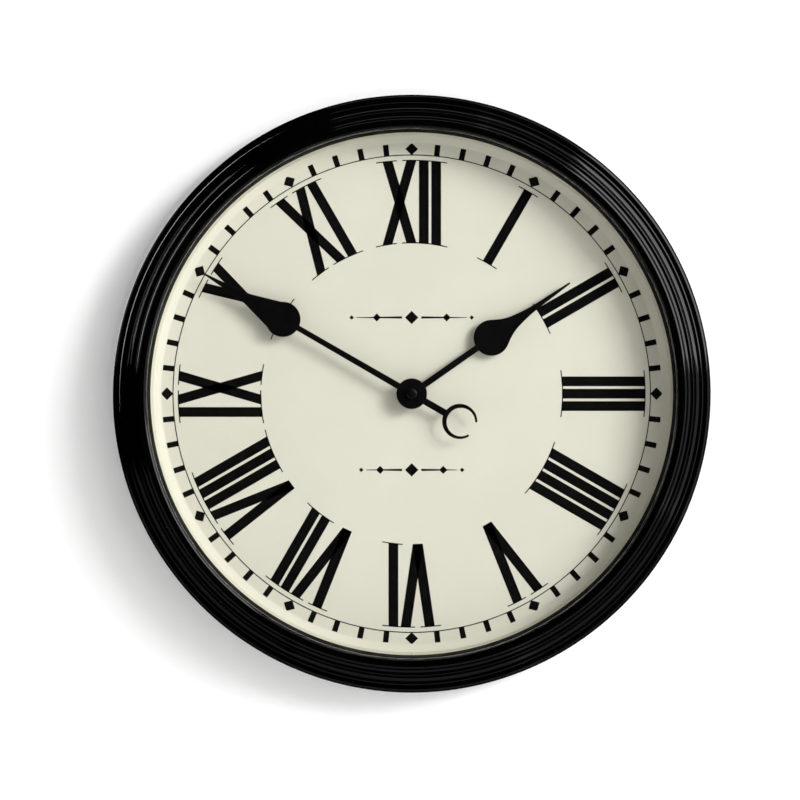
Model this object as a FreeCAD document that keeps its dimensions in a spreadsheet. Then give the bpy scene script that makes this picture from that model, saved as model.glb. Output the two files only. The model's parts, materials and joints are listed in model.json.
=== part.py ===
import FreeCAD, Part
import math
import os

import Sketcher

# Schoolhouse wall clock: a stepped ring case, a domed lens over a dished dial, and a
# battery movement. Millimetres. X to the viewer's right, Z up, the dial faces -Y, and
# the hands turn about the Y axis. Depths are measured back from the crest of the case.

SIZES = (
    ("case_diameter", 500, "outside of the case ring"),
    ("front_lip_depth", 17, "crest to the face that the lens gasket lies on"),
    ("gasket_thickness", 1, "foam ring in front of the lens"),
    ("lens_thickness", 2.5, "acrylic lens"),
    ("lens_rise", 12, "height of the lens's dome"),
    ("spacer_height", 8.9, "lens to the dial's flange"),
    ("dial_dish", 3.6, "dial flange to the flat of the dial"),
    ("dial_thickness", 1, "formed sheet metal"),
    ("board_thickness", 3.5, "hardboard behind the dial"),
    ("panel_thickness", 3, "hardboard back panel"),
    ("panel_gap", 5.5, "backing board to the back panel"),
    ("access_width", 100, "square opening in the back panel"),
    ("hanger_drop", 55, "top of the case to the keyhole"),
    ("hanger_thickness", 1.5, "steel hanging plate"),
    ("nail_head_radius", 5, "round part of the keyhole"),
    ("nail_slot_width", 5, "narrow part of the keyhole"),
    ("minute_hand_margin", 51.7, "minute hand's tip to the outside of the case, seen flat"),
    ("hour_hand_margin", 89.4, "hour hand's tip to the outside of the case, seen flat"),
    ("minute_hand_angle", 300, "clockwise from twelve, at rest"),
    ("hour_hand_angle", 55, "clockwise from twelve, at rest"),
    ("hand_thickness", 0.6, "stamped aluminium hands"),
    ("minute_hand_gap", 10, "dial to the minute hand"),
    ("hour_hand_gap", 6, "dial to the hour hand"),
    ("hub_radius", 12.7, "disc over the hands' centre"),
    ("movement_width", 56, "movement case, side to side"),
    ("movement_depth", 16, "movement case, front to back"),
    ("movement_wall", 1.2, "movement case wall"),
    ("knob_height", 4, "setting knob behind the movement"),
    ("wall_clearance", 1.5, "setting knob to the wall"),
    ("post_radius", 4, "threaded post that holds the movement"),
    ("cell_diameter", 14.5, "AA cell"),
    ("cell_length", 50.5, "AA cell, with its nub"),
    ("running_gap", 0.05, "radial play of each turning piece"),
    ("train_module", 0.3, "centre wheel, third wheel and hour wheel"),
    ("motion_module", 0.3125, "cannon pinion, minute wheel and setting pinion"),
    ("fast_module", 0.25, "second wheel, intermediate wheel and rotor pinion"),
    ("wheel_thickness", 0.8, "moulded wheels"),
)

doc = FreeCAD.newDocument("schoolhouse_wall_clock")
sheet = doc.addObject("Spreadsheet::Sheet", "Params")
for row, (alias, value, note) in enumerate(SIZES, 1):
    sheet.set(f"A{row}", alias)
    sheet.set(f"B{row}", str(value))
    sheet.set(f"C{row}", note)
    sheet.setAlias(f"B{row}", alias)
doc.recompute()


class Size:
    """A number that keeps the rule it comes from, so that a property can be bound to it."""

    def __init__(self, rule, value):
        self.rule, self.value = rule, value

    def __float__(self):
        return self.value

    def __add__(self, other):
        other = lift(other)
        return Size(f"({self.rule} + {other.rule})", self.value + other.value)

    def __sub__(self, other):
        other = lift(other)
        return Size(f"({self.rule} - {other.rule})", self.value - other.value)

    def __mul__(self, other):
        other = lift(other)
        return Size(f"({self.rule} * {other.rule})", self.value * other.value)

    def __truediv__(self, other):
        other = lift(other)
        return Size(f"({self.rule} / {other.rule})", self.value / other.value)

    def __neg__(self):
        return lift(0) - self

    __radd__ = __add__
    __rmul__ = __mul__

    def __rsub__(self, other):
        return lift(other) - self


def lift(number):
    if isinstance(number, Size):
        return number
    return Size(f"({number:.9f})", float(number))


def size(alias):
    return Size(f"Params.{alias}", float(getattr(sheet, alias)))


# The levels that everything is built from

RADIUS = size("case_diameter") / 2
GAP = size("running_gap")
LENS_SEAT = RADIUS - 29.5
GASKET_D = size("front_lip_depth")
LENS_D = GASKET_D + size("gasket_thickness")
SPACER_D = LENS_D + size("lens_thickness")
FLANGE_D = SPACER_D + size("spacer_height")
DIAL_D = FLANGE_D + size("dial_dish")
BOARD_D = DIAL_D + size("dial_thickness")
BOARD_BACK_D = BOARD_D + size("board_thickness")
PANEL_D = BOARD_BACK_D + size("panel_gap")
PANEL_BACK_D = PANEL_D + size("panel_thickness")
RUBBER = 1.0
MOVEMENT_D = BOARD_BACK_D + RUBBER
KNOB_D = MOVEMENT_D + size("movement_depth") + size("knob_height")
DEPTH = KNOB_D + size("wall_clearance")
CASE_Y = MOVEMENT_D - DEPTH / 2
HANGER_Z = RADIUS - size("hanger_drop")
WALL = size("movement_wall")
FLOOR_Y = CASE_Y + WALL
BACK_Y = CASE_Y + size("movement_depth")
COVER_Y = BACK_Y - WALL
DIAL_Y = DIAL_D - DEPTH / 2
HOUR_Y = DIAL_Y - size("hour_hand_gap")
MINUTE_Y = DIAL_Y - size("minute_hand_gap")
HAND = size("hand_thickness")
MINUTE_TUBE = 1.8
HOUR_TUBE = 2.6
HALF = size("movement_width") / 2

# Axes of the movement, as X and Z from the hands' axis, and its tooth counts

CENTRE = (0.0, 0.0)
TEETH = {
    "centre": 64,
    "third_pinion": 8,
    "third": 60,
    "second_pinion": 8,
    "second": 60,
    "intermediate_pinion": 8,
    "intermediate": 48,
    "rotor_pinion": 12,
    "cannon": 12,
    "minute": 36,
    "minute_pinion": 10,
    "hour": 40,
    "setting": 12,
}


def node(kind, name):
    return doc.addObject(kind, name)


def bind(target, prop, rule):
    target.setExpression(prop, lift(rule).rule)


def place(target, x, y, z):
    for letter, rule in zip("xyz", (x, y, z)):
        bind(target, f".Placement.Base.{letter}", rule)


# Solid primitives, with their axes along Y


def rod(name, at, y0, y1, radius, front_radius=None):
    """A cylinder along Y, or a cone if its front radius differs."""
    kind = "Part::Cylinder" if front_radius is None else "Part::Cone"
    piece = node(kind, name)
    if front_radius is None:
        bind(piece, "Radius", radius)
    else:
        bind(piece, "Radius1", front_radius)
        bind(piece, "Radius2", radius)
    bind(piece, "Height", lift(y1) - y0)
    piece.Placement = FreeCAD.Placement(
        FreeCAD.Vector(0, 0, 0), FreeCAD.Rotation(FreeCAD.Vector(1, 0, 0), -90)
    )
    place(piece, at[0], y0, at[1])
    return piece


def block(name, low, high):
    piece = node("Part::Box", name)
    for prop, a, b in zip(("Length", "Width", "Height"), low, high):
        bind(piece, prop, lift(b) - a)
    place(piece, *low)
    return piece


def cut(name, base, *tools):
    for i, tool in enumerate(tools):
        piece = node("Part::Cut", name if i == len(tools) - 1 else f"{name}_cut{i}")
        piece.Base, piece.Tool = base, tool
        base = piece
    return base


def fuse(name, *pieces):
    piece = node("Part::MultiFuse", name)
    piece.Shapes = list(pieces)
    piece.Refine = False
    return piece


def tube(name, at, y0, y1, outer, inner):
    return cut(
        name,
        rod(name + "_outside", at, y0, y1, outer),
        rod(name + "_bore", at, lift(y0) - 1, lift(y1) + 1, inner),
    )


# Bodies made from sketches


def plane_of(body, role):
    return next(f for f in body.Origin.OriginFeatures if f.Role == role)


def sketch_in(body, name, role):
    sketch = body.newObject("Sketcher::SketchObject", name)
    sketch.AttachmentSupport = [(plane_of(body, role), "")]
    sketch.MapMode = "FlatFace"
    return sketch


def pin_point(sketch, geometry, end, u, v):
    for kind, rule in (("DistanceX", u), ("DistanceY", v)):
        at = sketch.addConstraint(
            Sketcher.Constraint(kind, -1, 1, geometry, end, float(rule))
        )
        bind(sketch, f"Constraints[{at}]", rule)


def arc_between(start, end, radius):
    """A circle arc that bulges to the left of start to end, or to the right if the radius is negative."""
    a, b = FreeCAD.Vector(*start, 0), FreeCAD.Vector(*end, 0)
    chord = b - a
    side = FreeCAD.Vector(-chord.y, chord.x, 0).normalize()
    reach = math.copysign(math.sqrt(radius * radius - chord.Length**2 / 4), radius)
    centre = (a + b) / 2 - side * reach
    order = (b, a) if radius > 0 else (a, b)
    first, last = (math.atan2((p - centre).y, (p - centre).x) for p in order)
    circle = Part.Circle(centre, FreeCAD.Vector(0, 0, 1), abs(radius))
    return Part.ArcOfCircle(circle, first, last)


def outline(sketch, points):
    """A closed outline of (u, v) points. A third number makes the next edge an arc of that radius."""
    flat = [(float(p[0]), float(p[1])) for p in points]
    ends = []
    for i, point in enumerate(points):
        start, end = flat[i], flat[(i + 1) % len(flat)]
        if len(point) == 3:
            at = sketch.addGeometry(arc_between(start, end, point[2]))
            sketch.addConstraint(Sketcher.Constraint("Radius", at, abs(point[2])))
            ends.append((at, 2, 1) if point[2] > 0 else (at, 1, 2))
        else:
            line = Part.LineSegment(
                FreeCAD.Vector(*start, 0), FreeCAD.Vector(*end, 0)
            )
            ends.append((sketch.addGeometry(line), 1, 2))
    for i, (at, first, _) in enumerate(ends):
        before, _, last = ends[i - 1]
        sketch.addConstraint(
            Sketcher.Constraint("Coincident", before, last, at, first)
        )
        pin_point(sketch, at, first, points[i][0], points[i][1])


def turned(name, points):
    """A body turned about Y from an outline of (radius, depth) points."""
    body = node("PartDesign::Body", name)
    sketch = sketch_in(body, name + "_section", "XY_Plane")
    outline(sketch, points)
    bind(sketch, ".AttachmentOffset.Base.y", -(DEPTH / 2))
    turn = body.newObject("PartDesign::Revolution", name + "_turn")
    turn.Profile = sketch
    turn.ReferenceAxis = (sketch, ["V_Axis"])
    turn.Angle = 360
    body.Tip = turn
    return body


def circle(sketch, u, v, radius):
    at = sketch.addGeometry(
        Part.Circle(
            FreeCAD.Vector(float(u), float(v), 0), FreeCAD.Vector(0, 0, 1), float(radius)
        )
    )
    limit = sketch.addConstraint(Sketcher.Constraint("Radius", at, float(radius)))
    bind(sketch, f"Constraints[{limit}]", radius)
    if float(u) == 0 and float(v) == 0:
        sketch.addConstraint(Sketcher.Constraint("Coincident", at, 3, -1, 1))
    else:
        pin_point(sketch, at, 3, u, v)


def padded(name, draw, y0, y1):
    """A plate from y0 to y1 whose outline is drawn in X and Z."""
    body = node("PartDesign::Body", name)
    sketch = sketch_in(body, name + "_outline", "XZ_Plane")
    draw(sketch)
    bind(sketch, ".AttachmentOffset.Base.z", -lift(y1))
    pad = body.newObject("PartDesign::Pad", name + "_pad")
    pad.Profile = sketch
    bind(pad, "Length", lift(y1) - y0)
    body.Tip = pad
    return body


def drilled(body, name, draw, y0, y1, copies=1):
    """Holes from y1 forward to y0, repeated round the hands' axis."""
    sketch = sketch_in(body, name + "_outline", "XZ_Plane")
    draw(sketch)
    bind(sketch, ".AttachmentOffset.Base.z", -lift(y1))
    pocket = body.newObject("PartDesign::Pocket", name)
    pocket.Profile = sketch
    pocket.Reversed = True
    bind(pocket, "Length", lift(y1) - y0)
    body.Tip = pocket
    if copies > 1:
        doc.recompute()
        ring = body.newObject("PartDesign::PolarPattern", name + "_ring")
        ring.Originals = [pocket]
        ring.Axis = (plane_of(body, "Y_Axis"), [""])
        ring.Angle = 360
        ring.Occurrences = copies
        body.Tip = ring
    return body


def rectangle(sketch, x0, x1, z0, z1):
    outline(sketch, [(x0, z0), (x1, z0), (x1, z1), (x0, z1)])


# Fasteners


def screw(name, at, seat_y, head, shank, length, forward=True):
    """A pan-head screw with a cross recess; its head stands on seat_y and its shank runs forward."""
    height = head * 0.55
    body = fuse(
        name + "_blank",
        rod(name + "_head", at, seat_y, lift(seat_y) + height, head * 0.8, head),
        rod(name + "_shank", at, lift(seat_y) - length, seat_y, shank),
    )
    arm, half = head * 0.6, head * 0.12
    x, z = at
    top = lift(seat_y) + height
    wide = block(
        name + "_slot_x",
        (lift(x) - arm, top - height * 0.6, lift(z) - half),
        (lift(x) + arm, top + 1, lift(z) + half),
    )
    tall = block(
        name + "_slot_z",
        (lift(x) - half, top - height * 0.6, lift(z) - arm),
        (lift(x) + half, top + 1, lift(z) + arm),
    )
    return cut(name, body, wide, tall)


def screws(name, places, seat_y, head, shank, length):
    made = [
        screw(f"{name}_{i}", at, seat_y, head, shank, length)
        for i, at in enumerate(places)
    ]
    group = node("Part::Compound", name)
    group.Links = made
    return group


def ring_places(radius, count, first):
    steps = [math.radians(first + 360 * i / count) for i in range(count)]
    return [(radius * math.sin(a), radius * math.cos(a)) for a in steps]


# The case, the lens and what lies behind it


def case_ring():
    r, seat = RADIUS, LENS_SEAT
    points = [
        (r - 31.8, GASKET_D),
        (r - 31.8, 4.6, -4.6),
        (r - 27.2, 0),
        (r - 27, 0, -4.6),
        (r - 22.4, 4.6),
        (r - 22.4, 6.4, 5.5),
        (r - 18.9, 8.8),
        (r - 18.1, 8.9, -2.0),
        (r - 16.4, 10.8),
        (r - 15.9, 13, 8.0),
        (r - 11.3, 16.85),
        (r - 10.1, 17.1, -2.6),
        (r - 7.9, 19.45),
        (r - 7.7, 36.4),
        (r - 4.4, 36.6, -5.0),
        (r, 41.5),
        (r, DEPTH - 1.5),
        (r - 1.5, DEPTH),
        (r - 9, DEPTH),
        (r - 9, PANEL_D),
        (r - 20.5, PANEL_D),
        (r - 20.5, BOARD_D),
        (seat, BOARD_D),
        (seat, GASKET_D),
    ]
    body = turned("case_ring", points)
    front = -(DEPTH / 2)

    def board_hole(sketch):
        circle(sketch, *spot(RADIUS - 25, 22.5), 1.55)

    def panel_hole(sketch):
        circle(sketch, *spot(RADIUS - 14.5, 22.5), 1.8)

    drilled(body, "board_holes", board_hole, front + BOARD_D - 14, front + BOARD_D, 8)
    drilled(body, "panel_holes", panel_hole, front + PANEL_D - 16, front + PANEL_D, 8)
    return body


def spot(radius, angle):
    a = math.radians(angle)
    return radius * math.sin(a), radius * math.cos(a)


def lens():
    """A sheet domed forward, of even thickness, with its edge on the spacer ring."""
    thick, rise = float(size("lens_thickness")), size("lens_rise")
    edge = LENS_SEAT - 0.5
    bulge = (float(edge) ** 2 + float(rise) ** 2) / (2 * float(rise))
    body = node("Part::Feature", "lens")
    back_y = float(SPACER_D - rise - DEPTH / 2)
    middle = FreeCAD.Vector(0, back_y + bulge, 0)
    outside = Part.makeSphere(bulge + thick, middle)
    inside = Part.makeSphere(bulge, middle)
    start = FreeCAD.Vector(0, back_y - thick - 1, 0)
    deep = float(rise) + thick + 1
    disc = Part.makeCylinder(float(edge), deep, start, FreeCAD.Vector(0, 1, 0))
    body.Shape = disc.common(outside).cut(inside)
    return body


def gasket():
    def draw(sketch):
        circle(sketch, 0, 0, LENS_SEAT - 0.3)
        circle(sketch, 0, 0, RADIUS - 33)

    # the lens leans forward inside its edge, so the foam is squeezed thinner than its room
    front = -(DEPTH / 2)
    squeezed = size("gasket_thickness") * 0.6
    return padded("lens_gasket", draw, front + GASKET_D, front + GASKET_D + squeezed)


def spacer():
    """A strip bent into a ring, open at six o'clock by a hair, wider at its front."""
    points = [
        (RADIUS - 33.7, SPACER_D + 0.02),
        (LENS_SEAT - 0.4, SPACER_D + 0.02),
        (LENS_SEAT - 0.4, FLANGE_D),
        (RADIUS - 34.9, FLANGE_D),
    ]
    body = turned("spacer_ring", points)
    front = -(DEPTH / 2)

    def seam(sketch):
        rectangle(sketch, -0.25, 0.25, -RADIUS, -(RADIUS - 40))

    drilled(body, "seam", seam, front + SPACER_D - 1, front + FLANGE_D + 1)
    return body


def dial():
    thick, rim, foot = size("dial_thickness"), RADIUS - 34.9, RADIUS - 41.1
    points = [
        (size("post_radius") + 0.2, DIAL_D),
        (foot, DIAL_D),
        (rim, FLANGE_D),
        (LENS_SEAT - 0.4, FLANGE_D),
        (LENS_SEAT - 0.4, FLANGE_D + thick),
        (rim + 0.5, FLANGE_D + thick),
        (foot + 0.5, BOARD_D),
        (size("post_radius") + 0.2, BOARD_D),
    ]
    return turned("dial", points)


def backing_board():
    front = -(DEPTH / 2)

    def draw(sketch):
        circle(sketch, 0, 0, RADIUS - 21)
        circle(sketch, 0, 0, size("post_radius") + 0.2)

    def hole(sketch):
        circle(sketch, *spot(RADIUS - 25, 22.5), 1.8)

    y0, y1 = front + BOARD_D, front + BOARD_BACK_D
    body = padded("backing_board", draw, y0, y1)
    return drilled(body, "board_screw_holes", hole, y0 - 1, y1, 8)


def back_panel():
    front = -(DEPTH / 2)
    half = size("access_width") / 2

    def draw(sketch):
        circle(sketch, 0, 0, RADIUS - 9.5)
        rectangle(sketch, -half, half, -half, half)
        circle(sketch, 0, HANGER_Z, size("nail_head_radius") * 2.2)

    def hole(sketch):
        circle(sketch, *spot(RADIUS - 14.5, 22.5), 2.0)

    y0, y1 = front + PANEL_D, front + PANEL_BACK_D
    body = padded("back_panel", draw, y0, y1)
    drilled(body, "panel_screw_holes", hole, y0 - 1, y1, 8)

    def plate_holes(sketch):
        for x, z in hanger_screws():
            circle(sketch, x, z, 1.05)

    return drilled(body, "hanger_screw_holes", plate_holes, y0 - 1, y1)


def hanger_screws():
    return [(s * 19.0, HANGER_Z + t * 9.0) for s in (-1, 1) for t in (-1, 1)]


def hanging_plate():
    front = -(DEPTH / 2)
    y0 = front + PANEL_BACK_D
    y1 = y0 + size("hanger_thickness")
    height, head = HANGER_Z, size("nail_head_radius")

    def draw(sketch):
        rectangle(sketch, -24, 24, height - 14, height + 14)

    def keyhole(sketch):
        circle(sketch, 0, height, head)

    def slot(sketch):
        half = size("nail_slot_width") / 2
        outline(
            sketch,
            [(-half, height), (half, height), (half, height + 9), (-half, height + 9)],
        )

    def screw_holes(sketch):
        for x, z in hanger_screws():
            circle(sketch, x, z, 1.25)

    body = padded("hanging_plate", draw, y0, y1)
    for name, tool in (("keyhole", keyhole), ("slot", slot), ("fixings", screw_holes)):
        drilled(body, name, tool, y0 - 1, y1)
    return body


# Hands


def blade_point(distance, side, angle, reach_y):
    """A point at a distance from the axis along a hand, and to its side."""
    a = math.radians(angle)
    x = distance * math.sin(a) + side * math.cos(a)
    z = distance * math.cos(a) - side * math.sin(a)
    return FreeCAD.Vector(x, reach_y, z)


def blade(half_widths, angle, y):
    """A flat face whose edges are splines through (distance, half width) points."""
    sides = []
    for s in (1, -1):
        curve = Part.BSplineCurve()
        curve.interpolate([blade_point(d, s * w, angle, y) for d, w in half_widths])
        sides.append(curve.toShape())
    ends = [
        Part.makeLine(
            blade_point(d, w, angle, y), blade_point(d, -w, angle, y)
        )
        for d, w in (half_widths[0], half_widths[-1])
    ]
    return Part.Face(Part.Wire([sides[0], ends[1], sides[1].reversed(), ends[0]]))


def disc_at(distance, radius, angle, y):
    centre = blade_point(distance, 0, angle, y)
    edge = Part.makeCircle(radius, centre, FreeCAD.Vector(0, 1, 0))
    return Part.Face(Part.Wire([edge]))


def stamped(name, faces, holes, thickness):
    """Flat faces given a thickness, joined and pierced."""
    body = node("Part::Feature", name)
    up = FreeCAD.Vector(0, thickness, 0)
    plates = [face.extrude(up) for face in faces]
    whole = plates[0].fuse(plates[1:]).removeSplitter()
    for hole in holes:
        whole = whole.cut(hole.extrude(up))
    body.Shape = whole.Solids[0]
    return body


def minute_hand():
    y, angle = float(MINUTE_Y) - float(HAND), float(size("minute_hand_angle"))
    k = float(RADIUS - size("minute_hand_margin")) / 198
    flanks = [(135 * k, 8.5), (145 * k, 7.2), (157 * k, 4.4), (180 * k, 2.5), (198 * k, 0.7)]
    stem = [(0, 2.7), (62 * k, 2.5), (125 * k, 2.2)]
    tail = [(0, 2.8), (-36 * k, 2.8)]
    crescent = disc_at(-46 * k, 14.6, angle, y).cut(disc_at(-47.1 * k, 11.8, angle, y))
    mouth = [blade_point(-47.1 * k, 0, angle, y)]
    for s in (1, -1):
        a = math.radians(33)
        mouth.append(
            blade_point(-47.1 * k - 30 * math.cos(a), s * 30 * math.sin(a), angle, y)
        )
    crescent = crescent.cut(Part.Face(Part.makePolygon([*mouth, mouth[0]])))
    faces = [
        blade(flanks, angle, y),
        disc_at(123.4 * k, 14.6, angle, y),
        Part.Face(strip(stem, angle, y)),
        Part.Face(strip(tail, angle, y)),
        disc_at(0, 7.5, angle, y),
        crescent,
    ]
    return stamped("minute_hand", faces, [disc_at(0, MINUTE_TUBE, 0, y)], float(HAND))


def strip(half_widths, angle, y):
    """A straight-sided outline through (distance, half width) points."""
    right = [blade_point(d, w, angle, y) for d, w in half_widths]
    left = [blade_point(d, -w, angle, y) for d, w in reversed(half_widths)]
    return Part.makePolygon([*right, *left, right[0]])


def hour_hand():
    y, angle = float(HOUR_Y) - float(HAND), float(size("hour_hand_angle"))
    k = float(RADIUS - size("hour_hand_margin")) / 160
    flanks = [
        (87.4 * k, 13.2),
        (95.6 * k, 8.4),
        (104.8 * k, 5.2),
        (112 * k, 3.9),
        (124.5 * k, 2.4),
        (160 * k, 0.75),
    ]
    faces = [
        blade(flanks, angle, y),
        disc_at(81 * k, 14.9, angle, y),
        Part.Face(strip([(0, 2.6), (81 * k, 2.6)], angle, y)),
        disc_at(0, 8.5, angle, y),
    ]
    return stamped("hour_hand", faces, [disc_at(0, HOUR_TUBE, 0, y)], float(HAND))


# Toothed wheels


def involute(angle):
    return math.tan(angle) - angle


def tooth_outline(teeth, module, shift, turn):
    """Corners of a wheel's outline in X and Z, with a tooth's middle at the turn given."""
    pitch = teeth * module / 2
    base = pitch * math.cos(math.radians(20))
    tip = pitch + (0.8 + shift) * module
    root = pitch - (1.1 - shift) * module
    half = (math.pi / 2 + 2 * shift * math.tan(math.radians(20)) - 0.25) / teeth
    levels = [root, max(root, base) + 0.02 * module, pitch + shift * module, tip]
    corners = []
    for i in range(teeth):
        middle = turn + 2 * math.pi * i / teeth
        flank = []
        for r in levels:
            lean = involute(math.acos(min(1, base / max(r, base))))
            flank.append((r, half + involute(math.radians(20)) - lean))
        corners += [(r, middle - w) for r, w in flank]
        corners += [(r, middle + w) for r, w in reversed(flank)]
    return [(r * math.cos(a), r * math.sin(a)) for r, a in corners]


def toothed(at, teeth, module, shift, turn, y0, y1):
    points = [
        FreeCAD.Vector(at[0] + x, float(y0), at[1] + z)
        for x, z in tooth_outline(teeth, module, shift, turn)
    ]
    face = Part.Face(Part.makePolygon([*points, points[0]]))
    return face.extrude(FreeCAD.Vector(0, float(y1) - float(y0), 0))


def shaft(at, radius, y0, y1):
    return Part.makeCylinder(
        radius,
        float(y1) - float(y0),
        FreeCAD.Vector(at[0], float(y0), at[1]),
        FreeCAD.Vector(0, 1, 0),
    )


def step_from(at, distance, angle):
    a = math.radians(angle)
    return at[0] + distance * math.cos(a), at[1] + distance * math.sin(a)


def meshed(at, teeth, turn, other_at, other_teeth):
    """The turn that puts a gap of the other wheel opposite this wheel's tooth."""
    line = math.atan2(other_at[1] - at[1], other_at[0] - at[0])
    ahead = (line - turn) * teeth / (2 * math.pi)
    return line + math.pi - (2 * math.pi / other_teeth) * (0.5 - ahead)


def one_solid(name, pieces, holes=()):
    body = node("Part::Feature", name)
    whole = pieces[0].fuse(list(pieces[1:]))
    if holes:
        whole = whole.cut(list(holes))
    body.Shape = whole.Solids[0]
    return body


TRAIN = float(size("train_module"))
MOTION = float(size("motion_module"))
FAST = float(size("fast_module"))
THICK = float(size("wheel_thickness"))
PLAY = float(GAP)
PIVOT = 0.5

MINUTE_AT = step_from(CENTRE, MOTION * 24, 150)
SETTING_AT = step_from(MINUTE_AT, MOTION * 24, 150)
THIRD_AT = step_from(CENTRE, TRAIN * 36, 30)
SECOND_AT = step_from(THIRD_AT, TRAIN * 34, 100)
INTERMEDIATE_AT = step_from(SECOND_AT, FAST * 34, 190)
ROTOR_AT = step_from(INTERMEDIATE_AT, FAST * 30, 170)
ARBORS = (THIRD_AT, SECOND_AT, INTERMEDIATE_AT, ROTOR_AT)

FLOOR = float(FLOOR_Y)
LAYER_A = FLOOR + 0.2
LAYER_B = LAYER_A + THICK + 0.5
LAYER_C = LAYER_B + THICK + 0.6
LAYER_D = LAYER_C + THICK + 0.8
LAYER_E = LAYER_D + THICK + 0.8
LAYER_F = LAYER_E + THICK + 0.8
COVER = float(COVER_Y)
KNOB_Y = float(KNOB_D - DEPTH / 2)
STEM = 1.0


def wheel_turns():
    """Each wheel's turn at rest, worked along the train so that every pair is in mesh."""
    t = {"centre": 0.0, "cannon": 0.0}
    t["third_pinion"] = meshed(CENTRE, 64, t["centre"], THIRD_AT, 8)
    t["third"] = t["third_pinion"]
    t["second_pinion"] = meshed(THIRD_AT, 60, t["third"], SECOND_AT, 8)
    t["second"] = t["second_pinion"]
    t["intermediate_pinion"] = meshed(SECOND_AT, 60, t["second"], INTERMEDIATE_AT, 8)
    t["intermediate"] = t["intermediate_pinion"]
    t["rotor_pinion"] = meshed(INTERMEDIATE_AT, 48, t["intermediate"], ROTOR_AT, 12)
    t["minute"] = meshed(CENTRE, 12, t["cannon"], MINUTE_AT, 36)
    t["minute_pinion"] = t["minute"]
    t["hour"] = meshed(MINUTE_AT, 10, t["minute_pinion"], CENTRE, 40)
    t["setting"] = meshed(MINUTE_AT, 36, t["minute"], SETTING_AT, 12)
    return t


TURNS = wheel_turns()


def gear(key, at, module, shift, y0, y1):
    return toothed(at, TEETH[key], module, shift, TURNS[key], y0, y1)


def arbor(at, radius):
    """A spindle between the case floor and the cover, with a pivot at each end."""
    return [
        shaft(at, radius, FLOOR + 0.1, COVER - 0.1),
        shaft(at, PIVOT, FLOOR - 0.7, COVER + 0.7),
    ]


def centre_wheel():
    tip = float(MINUTE_Y) - float(HAND) - 3.0
    wheel = gear("centre", CENTRE, TRAIN, -0.5, LAYER_C, LAYER_C + THICK)
    cannon = gear("cannon", CENTRE, MOTION, 0.3, LAYER_B - 0.1, LAYER_C)
    pieces = [
        wheel,
        cannon,
        shaft(CENTRE, MINUTE_TUBE, tip, LAYER_B - 0.1),
        shaft(CENTRE, 1.2, LAYER_C, COVER - 0.1),
        shaft(CENTRE, PIVOT, COVER - 0.2, COVER + 0.7),
    ]
    return one_solid("centre_wheel", pieces)


def hour_wheel():
    tip = float(HOUR_Y) - float(HAND) - 0.9
    wheel = gear("hour", CENTRE, TRAIN, -0.4, LAYER_A, LAYER_A + THICK)
    tube_ = shaft(CENTRE, HOUR_TUBE, tip, LAYER_A)
    bore = shaft(CENTRE, MINUTE_TUBE + PLAY, tip - 1, LAYER_B)
    return one_solid("hour_wheel", [wheel, tube_], [bore])


def minute_wheel():
    wheel = gear("minute", MINUTE_AT, MOTION, -0.3, LAYER_B, LAYER_B + THICK)
    pinion = gear("minute_pinion", MINUTE_AT, TRAIN, 0.4, LAYER_A - 0.1, LAYER_B)
    bore = shaft(MINUTE_AT, 0.8 + PLAY, FLOOR, LAYER_C)
    return one_solid("minute_wheel", [wheel, pinion], [bore])


def setting_stem():
    pinion = gear("setting", SETTING_AT, MOTION, 0.3, LAYER_B - 0.1, LAYER_B + THICK + 0.1)
    pieces = [
        pinion,
        shaft(SETTING_AT, STEM, FLOOR + 0.1, KNOB_Y),
        shaft(SETTING_AT, PIVOT, FLOOR - 0.7, FLOOR + 0.2),
        shaft(SETTING_AT, STEM + 0.6, LAYER_B + THICK + 0.1, COVER - 0.1),
    ]
    return one_solid("setting_stem", pieces)


def setting_knob():
    """A knurled knob on the end of the setting stem."""
    back = float(BACK_Y)
    body = shaft(SETTING_AT, 5.0, back + 0.3, KNOB_Y)
    ribs = []
    for i in range(24):
        x, z = step_from(SETTING_AT, 5.0, i * 15)
        ribs.append(shaft((x, z), 0.3, back, KNOB_Y + 1))
    bore = shaft(SETTING_AT, STEM, back, KNOB_Y + 1)
    return one_solid("setting_knob", [body], [*ribs, bore])


def train_wheel(name, wheel_key, pinion_key, at, modules, wheel_y, pinion_y):
    """A wheel and a pinion moulded on one spindle."""
    wheel = gear(wheel_key, at, modules[0], -0.5, wheel_y, wheel_y + THICK)
    pinion = gear(pinion_key, at, modules[1], 0.5, pinion_y - 0.2, pinion_y + THICK + 0.2)
    return one_solid(name, [wheel, pinion, *arbor(at, 0.7)])


def rotor_pinion():
    pinion = gear("rotor_pinion", ROTOR_AT, FAST, 0.3, LAYER_F - 0.2, LAYER_F + THICK + 0.2)
    return one_solid("rotor_pinion", [pinion, *arbor(ROTOR_AT, 0.7)])


# The movement's case and the pieces fixed in it

BAY_TOP = -10.5
CELL_PLAY = 0.1
BAY_BOTTOM = BAY_TOP - WALL - size("cell_diameter") - CELL_PLAY * 6
CASE_BOTTOM = BAY_BOTTOM - WALL
CELL_Z = BAY_BOTTOM + size("cell_diameter") / 2 + CELL_PLAY
CELL_Y = FLOOR_Y + size("cell_diameter") / 2 + CELL_PLAY * 2
STATOR_Y = LAYER_F + THICK + 1.4
CASE_SCREWS = ((-25.0, 25.0), (25.0, 25.0), (16.0, -7.2), (-25.0, -6.5))
SLOT_X = size("cell_length") / 2 + 0.1


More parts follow.
